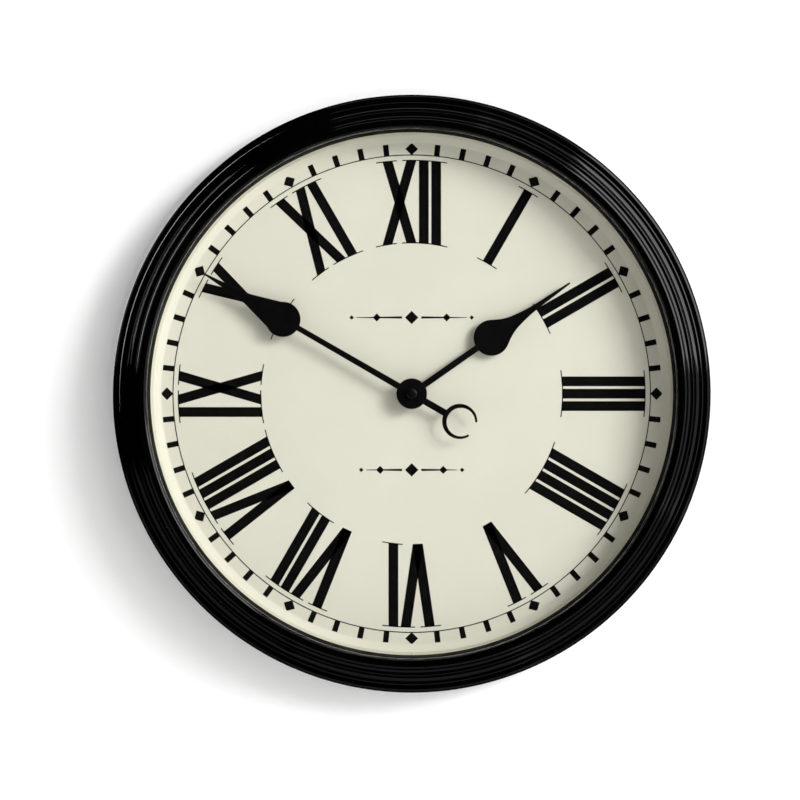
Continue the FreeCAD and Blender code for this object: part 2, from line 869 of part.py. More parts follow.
def movement_front_case():
    floor, y0 = FLOOR_Y, CASE_Y
    post_tip = DIAL_Y - 3.6
    box = cut(
        "case_shell",
        block("case_block", (-HALF, y0, CASE_BOTTOM), (HALF, COVER_Y, HALF)),
        block("case_room", (WALL - HALF, floor, BAY_BOTTOM), (HALF - WALL, COVER_Y + 1, HALF - WALL)),
    )
    rib = block("case_rib", (WALL - HALF, floor, BAY_TOP - WALL), (HALF - WALL, COVER_Y, BAY_TOP))
    pieces = [box, rib, rod("case_post", CENTRE, post_tip, y0 + WALL, size("post_radius"))]
    for i, at in enumerate(CASE_SCREWS):
        pieces.append(rod(f"case_boss{i}", at, floor, COVER_Y, 2.2))
    pieces.append(rod("case_stud", MINUTE_AT, floor, floor + (LAYER_C - FLOOR - 0.2), 0.8))
    body = fuse("case_joined", *pieces)
    holes = [rod("post_bore", CENTRE, post_tip - 1, floor + 0.1, HOUR_TUBE + GAP)]
    for i, at in enumerate(CASE_SCREWS):
        holes.append(rod(f"boss_hole{i}", at, COVER_Y - 8, COVER_Y + 1, 0.8))
    for i, at in enumerate((*ARBORS, SETTING_AT)):
        holes.append(rod(f"floor_pivot{i}", at, floor - 0.8, floor + 1, PIVOT + GAP))
    for i, side in enumerate((-1, 1)):
        near, far = sorted((side * (SLOT_X - 0.1), side * (SLOT_X + 0.6)), key=float)
        holes.append(
            block(f"strip_slot{i}", (near, COVER_Y - 4.2, BAY_TOP - 3), (far, COVER_Y - 1.8, BAY_TOP + 1))
        )
    return cut("movement_front_case", body, *holes)


def movement_rear_cover():
    plate = block("cover_plate", (-HALF, COVER_Y, BAY_TOP - WALL), (HALF, BACK_Y, HALF))
    holes = []
    for i, at in enumerate(CASE_SCREWS):
        holes.append(rod(f"cover_hole{i}", at, COVER_Y - 1, BACK_Y + 1, 0.95))
    for i, at in enumerate((*ARBORS, CENTRE)):
        holes.append(rod(f"cover_pivot{i}", at, COVER_Y - 1, COVER_Y + 0.8, PIVOT + GAP))
    holes.append(rod("cover_stem_hole", SETTING_AT, COVER_Y - 1, BACK_Y + 1, STEM + GAP))
    return cut("movement_rear_cover", plate, *holes)


def stator():
    y0, y1 = STATOR_Y, STATOR_Y + 0.8
    plate = fuse(
        "stator_blank",
        block("stator_base", (-19, y0, 10.8), (2.5, y1, 19.8)),
        block("stator_left", (-19, y0, 19.8), (-16, y1, 24.6)),
        block("stator_right", (-0.5, y0, 19.8), (2.5, y1, 24.6)),
    )
    return cut(
        "stator_plate",
        plate,
        rod("rotor_room", ROTOR_AT, y0 - 1, y1 + 1, 3.0),
        rod("arbor_room", INTERMEDIATE_AT, y0 - 1, y1 + 1, 1.2),
        rod("boss_room", (-25, 25), y0 - 1, y1 + 1, 2.4),
    )


def coil():
    y0 = STATOR_Y + 0.8
    block("coil_core", (-19, y0, 22), (2.5, y0 + 0.8, 24.6))
    sleeve = block("bobbin_sleeve", (-15.5, y0 - 0.5, 21.5), (-1.0, y0 + 1.3, 25.1))
    ends = [
        block(f"bobbin_end{i}", (x, y0 - 1.9, 20.2), (x + 0.8, y0 + 1.9, 26.2))
        for i, x in enumerate((-15.5, -1.8))
    ]
    room = block("bobbin_room", (-20, y0 - 0.02, 21.98), (3, y0 + 0.82, 24.62))
    cut("coil_bobbin", fuse("bobbin_blank", sleeve, *ends), room)
    cut(
        "coil_winding",
        block("winding_block", (-14.7, y0 - 1.6, 20.6), (-1.8, y0 + 1.8, 25.9)),
        block("winding_room", (-15, y0 - 0.5, 21.5), (-1, y0 + 1.3, 25.1)),
    )


def circuit():
    y1 = COVER_Y - 0.8
    cut(
        "circuit_board",
        block("board_blank", (13, y1 - 0.8, -4), (22.5, y1, 22)),
        rod("board_notch", (13, 8.0), y1 - 2, y1 + 1, 1.5),
    )
    block("clock_chip", (15, y1 - 2.0, 2), (20, y1 - 0.8, 7))
    crystal = node("Part::Cylinder", "quartz_crystal")
    bind(crystal, "Radius", 1.0)
    bind(crystal, "Height", 6)
    place(crystal, 18, y1 - 1.8, 11)


def contacts():
    """The two battery springs, each a bent strip that runs from the cell to the board."""
    y0, y1 = COVER_Y - 4, COVER_Y - 2
    x = SLOT_X
    fuse(
        "positive_contact",
        block("positive_blade", (x, y0 - 5, -22), (x + 0.4, y1, -16)),
        block("positive_riser", (x, y0, -16), (x + 0.4, y1, -3.6)),
        block("positive_foot", (22.5, y0, -4), (x, y1, -3.6)),
    )
    fuse(
        "negative_contact",
        block("negative_blade", (-(x + 0.4), y0 - 5, -22), (-x, y1, -16)),
        block("negative_riser", (-(x + 0.4), y0, -16), (-x, y1, -9.6)),
        block("negative_run", (-x, y0, -10), (21, y1, -9.6)),
        block("negative_tail", (20.6, y0, -9.6), (21, y1, -4)),
    )


def cell():
    """An AA cell: a steel can with a nub, in a thin sleeve."""
    length, radius = size("cell_length"), size("cell_diameter") / 2

    def along(name, x0, x1, r):
        piece = node("Part::Cylinder", name)
        bind(piece, "Radius", r)
        bind(piece, "Height", lift(x1) - x0)
        piece.Placement = FreeCAD.Placement(
            FreeCAD.Vector(0, 0, 0), FreeCAD.Rotation(FreeCAD.Vector(0, 1, 0), 90)
        )
        place(piece, x0, CELL_Y, CELL_Z)
        return piece

    start, end = -(length / 2), length / 2
    can = along("cell_can", start, end - 1.3, radius - 0.15)
    fuse("battery_cell", can, along("cell_nub", end - 1.3, end, 2.7))
    outside = along("sleeve_outside", start + 0.3, end - 1.6, radius)
    cut("battery_sleeve", outside, along("sleeve_room", start, end, radius - 0.15))


# What holds the movement to the dial, and the centre of the hands


def centre_fittings():
    washer_y = DIAL_Y - 0.8
    nut_y = washer_y - 2.4
    post = size("post_radius")
    tube("rubber_washer", CENTRE, CASE_Y - RUBBER, CASE_Y, 9, post + 0.1)
    tube("dial_washer", CENTRE, washer_y, DIAL_Y, 7, post + 0.1)
    nut = node("Part::Prism", "nut_hexagon")
    nut.Polygon = 6
    bind(nut, "Circumradius", 6.4)
    bind(nut, "Height", washer_y - nut_y)
    nut.Placement = FreeCAD.Placement(
        FreeCAD.Vector(0, 0, 0), FreeCAD.Rotation(FreeCAD.Vector(1, 0, 0), -90)
    )
    place(nut, 0, nut_y, 0)
    cut("mounting_nut", nut, rod("nut_bore", CENTRE, nut_y - 1, washer_y + 1, post))
    tube("hour_bush", CENTRE, HOUR_Y, HOUR_Y + 1.0, 4.2, HOUR_TUBE)
    front = MINUTE_Y - HAND
    tube("hub_disc", CENTRE, front - 1.0, front, size("hub_radius"), MINUTE_TUBE)
    cap = rod("cap_skirt", CENTRE, front - 3.4, front - 1.0, 4.4)
    dome = node("Part::Sphere", "cap_dome")
    bind(dome, "Radius", 8.0)
    place(dome, 0, front - 3.4 + 6.6, 0)
    limit = rod("cap_limit", CENTRE, front - 6, front - 1.2, 4.4)
    top = node("Part::Common", "cap_top")
    top.Base, top.Tool = dome, limit
    body = fuse("cap_blank", cap, top)
    cut("cap_nut", body, rod("cap_bore", CENTRE, front - 3.0, front, MINUTE_TUBE))


def build():
    case_ring()
    lens()
    gasket()
    spacer()
    dial()
    backing_board()
    back_panel()
    hanging_plate()
    front = -(DEPTH / 2)
    screws("board_screws", ring_places(RADIUS - 25, 8, 22.5), front + BOARD_BACK_D, 3.0, 1.5, 12)
    screws("panel_screws", ring_places(RADIUS - 14.5, 8, 22.5), front + PANEL_BACK_D, 3.4, 1.75, 16)
    plate_y = front + PANEL_BACK_D + size("hanger_thickness")
    screws("hanger_screws", hanger_screws(), plate_y, 2.2, 1.0, 4)
    screws("cover_screws", CASE_SCREWS, BACK_Y, 1.6, 0.75, 6)
    minute_hand()
    hour_hand()
    centre_wheel()
    hour_wheel()
    minute_wheel()
    setting_stem()
    setting_knob()
    train_wheel("third_wheel", "third", "third_pinion", THIRD_AT, (TRAIN, TRAIN), LAYER_D, LAYER_C)
    train_wheel("second_wheel", "second", "second_pinion", SECOND_AT, (FAST, TRAIN), LAYER_E, LAYER_D)
    train_wheel(
        "intermediate_wheel", "intermediate", "intermediate_pinion",
        INTERMEDIATE_AT, (FAST, FAST), LAYER_F, LAYER_E,
    )
    rotor_pinion()
    tube("rotor_magnet", ROTOR_AT, STATOR_Y - 0.6, STATOR_Y + 1.4, 2.5, 0.7)
    movement_front_case()
    movement_rear_cover()
    stator()
    coil()
    circuit()
    contacts()
    cell()
    centre_fittings()


NODES = (
    "case_ring", "lens_gasket", "lens", "spacer_ring", "dial", "backing_board",
    "board_screws", "back_panel", "panel_screws", "hanging_plate", "hanger_screws",
    "movement_front_case", "movement_rear_cover", "cover_screws", "rubber_washer",
    "dial_washer", "mounting_nut", "circuit_board", "clock_chip", "quartz_crystal",
    "coil_bobbin", "coil_winding", "coil_core", "stator_plate", "positive_contact",
    "negative_contact", "battery_cell", "battery_sleeve", "minute_hand", "hub_disc",
    "cap_nut", "centre_wheel", "hour_hand", "hour_bush", "hour_wheel", "minute_wheel",
    "setting_stem", "setting_knob", "third_wheel", "second_wheel",
    "intermediate_wheel", "rotor_pinion", "rotor_magnet",
)

build()
doc.recompute()
for item in doc.Objects:
    if any(word in item.State for word in ("Invalid", "Error")):
        raise RuntimeError(f"{item.Name} did not build: {item.State}")
os.makedirs("parts", exist_ok=True)
for name in NODES:
    shape = doc.getObject(name).Shape
    if shape.isNull() or not shape.isValid() or not shape.Solids:
        raise RuntimeError(f"{name} is not a sound solid")
    shape.exportStep(f"parts/{name}.step")
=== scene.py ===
import json
import math

import bmesh
import bpy
from mathutils import Matrix, Vector


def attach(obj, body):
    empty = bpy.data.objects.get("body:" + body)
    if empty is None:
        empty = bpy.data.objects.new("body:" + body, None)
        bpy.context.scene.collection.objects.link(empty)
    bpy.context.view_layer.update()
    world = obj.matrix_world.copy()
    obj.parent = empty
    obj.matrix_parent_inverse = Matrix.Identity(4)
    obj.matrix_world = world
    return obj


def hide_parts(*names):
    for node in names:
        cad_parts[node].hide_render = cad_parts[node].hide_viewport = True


# Schoolhouse wall clock in the CAD frame: metres in the scene, millimetres in this
# script. X to the viewer's right, Z up, the dial faces -Y, depths from the case's crest.

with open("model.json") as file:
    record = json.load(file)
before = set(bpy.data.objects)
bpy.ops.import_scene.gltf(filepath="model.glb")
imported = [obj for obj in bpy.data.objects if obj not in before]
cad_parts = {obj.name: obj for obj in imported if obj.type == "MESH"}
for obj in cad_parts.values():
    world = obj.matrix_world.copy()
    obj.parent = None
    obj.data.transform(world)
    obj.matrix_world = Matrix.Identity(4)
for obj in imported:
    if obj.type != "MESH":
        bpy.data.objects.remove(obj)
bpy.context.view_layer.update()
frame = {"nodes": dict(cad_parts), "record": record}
MM = 0.001
CASE = "clock_case"
MINUTE = "minute_hand_set"
HOUR = "hour_hand_set"

# The case. A name that ends in _D is a depth behind the crest.
RADIUS = 250.0
DEPTH = 60.0
FRONT = -DEPTH / 2
LIP_D = 17.0
LENS_BACK_D = 20.5
FLANGE_D = 29.4
DIAL_D = 33.0
BOARD_D = 34.0
PANEL_D = 43.0
SEAT_RADIUS = 220.1

# The lens, the foam under the lip and the strip behind the lens
LENS_THICK = 2.5
LENS_RISE = 12.0
LENS_EDGE = 220.0
GASKET_IN, GASKET_OUT = 216.4, 220.3
SPACER_TOP_IN, SPACER_FOOT_IN = 216.3, 215.1
SPACER_SEAM = 0.44

# The dial's hole, and its border from foot to rim
DIAL_HOLE = 4.2
BORDER_FOOT = RADIUS - 41.1
BORDER_RIM = RADIUS - 34.9

# The hands, at ten to two
MINUTE_ANGLE = 300.0
HOUR_ANGLE = 55.0
MINUTE_D = 23.0
HOUR_D = 27.0
HAND_THICK = 0.6
HAND_EDGE = 0.14

# The printing
TRACK_IN, TRACK_OUT = 198.9, 208.9
TRACK_LINE = 0.84
MARK_WIDTH = 4.6
LOZENGE_LONG, LOZENGE_WIDE = 10.4, 10.6
SERIF_OUT, SERIF_IN = 194.9, 125.3
STROKE = 8.1
SERIF = 0.9
OVERHANG_OUT, OVERHANG_GAP = 5.2, 3.7
CLOSE_GAP = 4.0
PITCH_I = 10.3
LEGS = 20.2
DIAGONAL = 8.3
GAP_NEXT = 2.0
PRINT_LIFT = 0.03
PRINT_THICK = 0.04
ROMAN = ("XII", "I", "II", "III", "IIII", "V", "VI", "VII", "VIII", "IX", "X", "XI")


# Nodes


class Nodes:
    """A material's node tree, with short calls to add and join nodes."""

    def __init__(self, name):
        self.material = bpy.data.materials.new(name)
        self.material.use_nodes = True
        self.tree = self.material.node_tree
        self.tree.nodes.clear()
        self.out = self.add("ShaderNodeOutputMaterial")
        self.shader = self.add("ShaderNodeBsdfPrincipled")
        self.join(self.shader, "BSDF", self.out, "Surface")
        self.place = self.add("ShaderNodeTexCoord")

    def add(self, kind, **values):
        """A new node. A value sets the node's own property, or else the input of that name."""
        made = self.tree.nodes.new(kind)
        for key, value in values.items():
            if hasattr(made, key):
                setattr(made, key, value)
            else:
                made.inputs[key.replace("_", " ")].default_value = value
        return made

    def join(self, a, output, b, socket):
        self.tree.links.new(a.outputs[output], b.inputs[socket])

    def set(self, **values):
        """Fixed values for the shader's inputs."""
        for key, value in values.items():
            self.shader.inputs[key.replace("_", " ")].default_value = value

    def noise(self, scale, detail=4.0, rough=0.55, stretch=(1, 1, 1)):
        """Noise in the object's own space, in features per metre."""
        shape = self.add("ShaderNodeMapping")
        shape.inputs["Scale"].default_value = stretch
        self.join(self.place, "Object", shape, "Vector")
        made = self.add("ShaderNodeTexNoise", Scale=scale, Detail=detail, Roughness=rough)
        self.join(shape, "Vector", made, "Vector")
        return made

    def tint(self, source, dark, light, low=0.35, high=0.65):
        """The base colour, from dark to light as the source goes from low to high."""
        ramp = self.add("ShaderNodeValToRGB")
        stops = ((low, dark), (high, light))
        for element, (at, color) in zip(ramp.color_ramp.elements, stops):
            element.position = at
            element.color = (*color, 1)
        self.join(source, "Fac", ramp, "Fac")
        self.join(ramp, "Color", self.shader, "Base Color")

    def roughness(self, source, low, high):
        """Roughness that wanders between low and high with the source."""
        spread = self.add("ShaderNodeMapRange")
        spread.inputs["To Min"].default_value = low
        spread.inputs["To Max"].default_value = high
        self.join(source, "Fac", spread, "Value")
        self.join(spread, "Result", self.shader, "Roughness")

    def bump(self, source, strength, distance, before=None):
        """Relief from the source, on top of an earlier bump if there is one."""
        made = self.add("ShaderNodeBump", Strength=strength, Distance=distance)
        self.join(source, "Fac", made, "Height")
        if before is not None:
            self.join(before, "Normal", made, "Normal")
        self.join(made, "Normal", self.shader, "Normal")
        return made


def lacquer():
    n = Nodes("gloss_black_lacquer")
    n.tint(n.noise(9, 3), (0.0004, 0.0004, 0.0004), (0.0009, 0.0009, 0.0009))
    n.roughness(n.noise(60, 5), 0.06, 0.1)
    ripple = n.bump(n.noise(260, 2), 0.05, 0.0002)
    n.bump(n.noise(35, 2), 0.03, 0.0006, ripple)
    n.set(IOR=1.5)
    return n.material


def dial_paint():
    n = Nodes("cream_dial_paint")
    n.tint(n.noise(14, 6, 0.6), (0.690, 0.662, 0.562), (0.716, 0.688, 0.590))
    n.roughness(n.noise(90, 4), 0.55, 0.68)
    grain = n.bump(n.noise(2600, 3), 0.12, 0.00008)
    n.bump(n.noise(120, 2), 0.04, 0.0003, grain)
    n.set(IOR=1.45)
    return n.material


def printed_ink():
    n = Nodes("black_dial_ink")
    n.tint(n.noise(120, 5), (0.0018, 0.0018, 0.0019), (0.0036, 0.0035, 0.0034))
    n.roughness(n.noise(400, 3), 0.42, 0.55)
    n.bump(n.noise(2200, 3), 0.1, 0.00005)
    n.set(IOR=1.45)
    return n.material


def satin_black():
    n = Nodes("satin_black_hand_paint")
    n.tint(n.noise(160, 5), (0.0014, 0.0014, 0.0015), (0.0034, 0.0034, 0.0035))
    n.roughness(n.noise(500, 4), 0.36, 0.48)
    n.bump(n.noise(3200, 2), 0.18, 0.00004)
    n.set(IOR=1.5)
    return n.material


def cream_strip():
    n = Nodes("cream_strip")
    n.tint(n.noise(40, 4), (0.60, 0.565, 0.455), (0.65, 0.615, 0.50))
    n.roughness(n.noise(200, 3), 0.4, 0.5)
    n.bump(n.noise(900, 3), 0.08, 0.00008)
    return n.material


def clear_sheet():
    """Clear acrylic as a thin sheet: light goes straight through, and glances off by Fresnel."""
    n = Nodes("clear_acrylic")
    n.set(Roughness=0.02, IOR=1.49, Base_Color=(1, 1, 1, 1))
    gloss = n.add("ShaderNodeBsdfGlossy", Roughness=0.015)
    clear = n.add("ShaderNodeBsdfTransparent")
    clear.inputs["Color"].default_value = (0.985, 0.99, 0.985, 1)
    wave = n.add("ShaderNodeBump", Strength=0.03, Distance=0.0004)
    n.join(n.noise(16, 2), "Fac", wave, "Height")
    n.join(wave, "Normal", gloss, "Normal")
    edge = n.add("ShaderNodeFresnel", IOR=1.3)
    side = n.add("ShaderNodeNewGeometry")
    outer = n.add("ShaderNodeMath", operation="MULTIPLY_ADD")
    outer.inputs[1].default_value = -1.0
    outer.inputs[2].default_value = 1.0
    n.join(side, "Backfacing", outer, 0)
    once = n.add("ShaderNodeMath", operation="MULTIPLY")
    n.join(edge, "Fac", once, 0)
    n.join(outer, "Value", once, 1)
    mix = n.add("ShaderNodeMixShader")
    n.join(once, "Value", mix, 0)
    n.join(clear, "BSDF", mix, 1)
    n.join(gloss, "BSDF", mix, 2)
    n.join(mix, "Shader", n.out, "Surface")
    n.tree.nodes.remove(n.shader)
    return n.material


def metal(name, dark, light, rough=(0.25, 0.4), stretch=(1, 1, 1), scale=700):
    n = Nodes(name)
    grain = n.noise(scale, 6, 0.6, stretch)
    n.tint(grain, dark, light)
    n.roughness(n.noise(scale * 0.7, 4, 0.6, stretch), *rough)
    n.bump(grain, 0.15, 0.00005)
    n.set(Metallic=1.0)
    return n.material


def moulded(name, dark, light, rough=(0.4, 0.55), grain=3000):
    n = Nodes(name)
    n.tint(n.noise(60, 4), dark, light)
    n.roughness(n.noise(300, 3), *rough)
    n.bump(n.noise(grain, 3), 0.25, 0.00006)
    n.set(IOR=1.49)
    return n.material


def hardboard(name, dark, light):
    """Pressed fibre board: fine matted fibres over slow mottling."""
    n = Nodes(name)
    fibres = n.noise(900, 8, 0.7, (1, 1, 2.4))
    n.tint(fibres, dark, light, 0.3, 0.7)
    n.roughness(n.noise(240, 5), 0.6, 0.8)
    weave = n.bump(fibres, 0.35, 0.0002)
    n.bump(n.noise(60, 3), 0.1, 0.0005, weave)
    return n.material


def winding():
    """Fine wire laid side by side along the coil."""
    n = Nodes("copper_winding")
    lines = n.add("ShaderNodeTexWave", Scale=1400.0, Distortion=0.6, Detail=2.0)
    n.join(n.place, "Object", lines, "Vector")
    n.tint(lines, (0.30, 0.09, 0.03), (0.62, 0.24, 0.10), 0.2, 0.8)
    n.bump(lines, 0.5, 0.0001)
    n.set(Metallic=0.8, Roughness=0.32)
    return n.material


def all_materials():
    """One material for each slot in the record, and the ink."""
    grey = (0.48, 0.48, 0.47)
    pale = (0.66, 0.66, 0.64)
    return {
        "gloss_black": lacquer(),
        "acrylic": clear_sheet(),
        "foam": moulded("black_foam", (0.008,) * 3, (0.03,) * 3, (0.8, 0.95), 1500),
        "cream_strip": cream_strip(),
        "dial_paint": dial_paint(),
        "ink": printed_ink(),
        "hardboard": hardboard("brown_hardboard", (0.12, 0.06, 0.03), (0.27, 0.15, 0.08)),
        "black_board": hardboard("black_faced_board", (0.016,) * 3, (0.045,) * 3),
        "zinc_steel": metal("zinc_plated_steel", grey, pale),
        "movement_black": moulded("movement_black", (0.008,) * 3, (0.016,) * 3),
        "rubber": moulded("black_rubber", (0.01,) * 3, (0.02,) * 3, (0.7, 0.85), 1200),
        "brass": metal("turned_brass", (0.55, 0.38, 0.14), (0.75, 0.56, 0.26), (0.2, 0.32)),
        "circuit_green": moulded("circuit_green", (0.01, 0.09, 0.04), (0.015, 0.14, 0.06)),
        "chip_black": moulded("chip_black", (0.01,) * 3, (0.02,) * 3),
        "can_steel": metal("drawn_can_steel", grey, pale, (0.15, 0.25), (0.1, 1, 1)),
        "bobbin_white": moulded("bobbin_white", (0.7, 0.7, 0.67), (0.76, 0.76, 0.73)),
        "copper": winding(),
        "iron": metal("annealed_iron", (0.25,) * 3, (0.4,) * 3, (0.35, 0.5)),
        "spring_steel": metal(
            "nickel_strip", (0.52, 0.5, 0.46), (0.7, 0.68, 0.63), (0.15, 0.3), (1, 1, 0.1)
        ),
        "cell_sleeve": moulded(
            "blue_cell_sleeve", (0.012, 0.05, 0.14), (0.018, 0.07, 0.19), (0.2, 0.3), 900
        ),
        "hand_black": satin_black(),
        "wheel_white": moulded("acetal_white", (0.72, 0.72, 0.69), (0.8, 0.8, 0.77), (0.35, 0.45)),
        "knob_grey": moulded("knob_grey", (0.11,) * 3, (0.16,) * 3),
        "magnet": metal("sintered_magnet", (0.12,) * 3, (0.2,) * 3, (0.45, 0.6)),
    }


# Meshes


def mesh_object(name, vertices, faces, material, body, smooth=True):
    """A mesh of millimetre points that rides on a body. The printing has no slot of its own."""
    mesh = bpy.data.meshes.new(name)
    mesh.from_pydata([Vector(v) * MM for v in vertices], [], faces)
    shape = bmesh.new()
    shape.from_mesh(mesh)
    bmesh.ops.recalc_face_normals(shape, faces=shape.faces)
    shape.to_mesh(mesh)
    shape.free()
    mesh.materials.append(material)
    made = bpy.data.objects.new(name, mesh)
    bpy.context.scene.collection.objects.link(made)
    for face in mesh.polygons:
        face.use_smooth = smooth
    if smooth:
        mesh.set_sharp_from_angle(angle=math.radians(32))
    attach(made, body)
    return made


def turned(name, outline, steps, material, body, start=0.0, sweep=360.0):
    """A closed outline of (radius, depth) points turned about the hands' axis."""
    full = sweep >= 360
    count = steps if full else steps + 1
    vertices, faces = [], []
    for i in range(count):
        a = math.radians(start + sweep * i / steps)
        for r, d in outline:
            vertices.append((r * math.sin(a), FRONT + d, r * math.cos(a)))
    size = len(outline)
    for i in range(steps):
        here, there = i * size, ((i + 1) % count) * size
        for k in range(size):
            n = (k + 1) % size
            faces.append((here + k, here + n, there + n, there + k))
    if not full:
        faces.append(tuple(range(size)))
        faces.append(tuple(range((count - 1) * size, count * size)))
    return mesh_object(name, vertices, faces, material, body)


def arc_points(start, end, radius, steps):
    """Points after the start on an arc that bulges to the left, or right for a negative radius."""
    a, b = Vector(start), Vector(end)
    chord = b - a
    side = Vector((-chord.y, chord.x)).normalized()
    reach = math.sqrt(radius**2 - chord.length**2 / 4)
    centre = (a + b) / 2 - side * math.copysign(reach, radius)
    radius = abs(radius)
    first = math.atan2((a - centre).y, (a - centre).x)
    last = math.atan2((b - centre).y, (b - centre).x)
    turn = (last - first + math.pi) % (2 * math.pi) - math.pi
    made = []
    for i in range(1, steps + 1):
        t = first + turn * i / steps
        made.append((centre.x + radius * math.cos(t), centre.y + radius * math.sin(t)))
    return made


def eased(corners, radius, steps=4):
    """A closed outline with every corner rounded by the radius."""
    made = []
    count = len(corners)
    for i in range(count):
        p = Vector(corners[i])
        to_last = Vector(corners[i - 1]) - p
        to_next = Vector(corners[(i + 1) % count]) - p
        trim = min(radius, to_last.length * 0.45, to_next.length * 0.45)
        a, b = p + to_last.normalized() * trim, p + to_next.normalized() * trim
        for k in range(steps + 1):
            t = k / steps
            made.append(tuple(a * (1 - t) ** 2 + p * 2 * t * (1 - t) + b * t * t))
    return made


# The case, from its inner lip over the mouldings to the wall. A third number makes the
# next edge an arc of that radius.

CASE_OUTLINE = (
    (-31.8, LIP_D),
    (-31.8, 4.6, -4.6),
    (-27.2, 0),
    (-27, 0, -4.6),
    (-22.4, 4.6),
    (-22.4, 6.4, 5.5),
    (-18.9, 8.8),
    (-18.1, 8.9, -2.0),
    (-16.4, 10.8),
    (-15.9, 13, 8.0),
    (-11.3, 16.85),
    (-10.1, 17.1, -2.6),
    (-7.9, 19.45),
    (-7.7, 36.4),
    (-4.4, 36.6, -5.0),
    (0, 41.5),
    (0, DEPTH - 1.5),
    (-1.5, DEPTH),
    (-9, DEPTH),
    (-9, PANEL_D),
    (-20.5, PANEL_D),
    (-20.5, BOARD_D),
    (-29.5, BOARD_D),
    (-29.5, LIP_D),
)


def case_section():
    """The case's closed outline as (radius, depth) points, its arcs worked out."""
    made = []
    for i, point in enumerate(CASE_OUTLINE):
        start = (RADIUS + point[0], point[1])
        after = CASE_OUTLINE[(i + 1) % len(CASE_OUTLINE)]
        if i == 0 or len(CASE_OUTLINE[i - 1]) == 2:
            made.append(start)
        if len(point) == 3:
            made += arc_points(start, (RADIUS + after[0], after[1]), point[2], 12)
    return made


def case_ring(materials):
    made = turned("case_moulding", case_section(), 512, materials["gloss_black"], CASE)
    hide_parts("case_ring")


def lens(materials):
    """Two concentric domes of rings round a middle point, joined at the rim."""
    bulge = (LENS_EDGE**2 + LENS_RISE**2) / (2 * LENS_RISE)
    middle = LENS_BACK_D - LENS_RISE + bulge
    vertices, faces = [], []
    rings, steps = 40, 256
    for radius in (bulge + LENS_THICK, bulge):
        vertices.append((0, FRONT + middle - radius, 0))
        for k in range(1, rings + 1):
            r = LENS_EDGE * k / rings
            y = FRONT + middle - math.sqrt(radius**2 - r * r)
            for i in range(steps):
                a = 2 * math.pi * i / steps
                vertices.append((r * math.sin(a), y, r * math.cos(a)))
    side = 1 + rings * steps
    for base in (0, side):
        for i in range(steps):
            n = (i + 1) % steps
            faces.append((base, base + 1 + i, base + 1 + n))
            for k in range(rings - 1):
                a, b = base + 1 + k * steps, base + 1 + (k + 1) * steps
                faces.append((a + i, b + i, b + n, a + n))
    rim = 1 + (rings - 1) * steps
    for i in range(steps):
        n = (i + 1) % steps
        faces.append((rim + i, rim + n, side + rim + n, side + rim + i))
    made = mesh_object("lens_dome", vertices, faces, materials["acrylic"], CASE)
    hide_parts("lens")


def gasket(materials):
    """The foam ring, seen as a matt band inside the case's lip."""
    front, back = LIP_D + 0.02, LIP_D + 0.6
    corners = [(GASKET_IN, back), (GASKET_IN, front), (GASKET_OUT, front), (GASKET_OUT, back)]
    foam = eased(corners, 0.2, 3)
    made = turned("gasket_foam", foam, 256, materials["foam"], CASE)
    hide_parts("lens_gasket")


def spacer(materials):
    """The cream strip between the lens and the dial, with its seam at the bottom."""
    top, foot = LENS_BACK_D + 0.02, FLANGE_D
    corners = [
        (SPACER_TOP_IN, top), (SEAT_RADIUS, top), (SEAT_RADIUS, foot), (SPACER_FOOT_IN, foot)
    ]
    half_seam = math.degrees(SPACER_SEAM / 2 / 216)
    made = turned(
        "spacer_strip", eased(corners, 0.25, 2), 511, materials["cream_strip"], CASE,
        180 + half_seam, 360 - 2 * half_seam,
    )
    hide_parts("spacer_ring")


def dial(materials):
    """The dial sheet, with soft bends at the foot and the top of its border."""
    foot, rim = BORDER_FOOT, BORDER_RIM
    slope = Vector((rim - foot, FLANGE_D - DIAL_D)).normalized()
    low, high = Vector((foot, DIAL_D)) + slope, Vector((rim, FLANGE_D)) - slope * 0.6
    front = [(DIAL_HOLE, DIAL_D), (60, DIAL_D), (130, DIAL_D), (foot - 1.6, DIAL_D)]
    front += bend((foot - 1.6, DIAL_D), (foot, DIAL_D), low)
    front.append(tuple(high))
    front += bend(high, (rim, FLANGE_D + 0.01), (rim + 0.8, FLANGE_D + 0.01))
    front.append((SEAT_RADIUS, FLANGE_D + 0.01))
    back = [(SEAT_RADIUS, FLANGE_D + 1), (rim + 0.5, FLANGE_D + 1)]
    back += [(foot + 0.5, BOARD_D), (DIAL_HOLE, BOARD_D)]
    made = turned("dial_sheet", front + back, 384, materials["dial_paint"], CASE)
    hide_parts("dial")


def bend(a, corner, b, steps=5):
    """Points after a on a soft bend to b that heads for the corner."""
    a, corner, b = Vector(a), Vector(corner), Vector(b)
    return [
        tuple(a * (1 - t) ** 2 + corner * 2 * t * (1 - t) + b * t * t)
        for t in (k / steps for k in range(1, steps + 1))
    ]


# The printing


def at_clock(radius, angle):
    """The (x, z) point on a circle, by degrees clockwise from twelve."""
    a = math.radians(angle)
    return radius * math.sin(a), radius * math.cos(a)


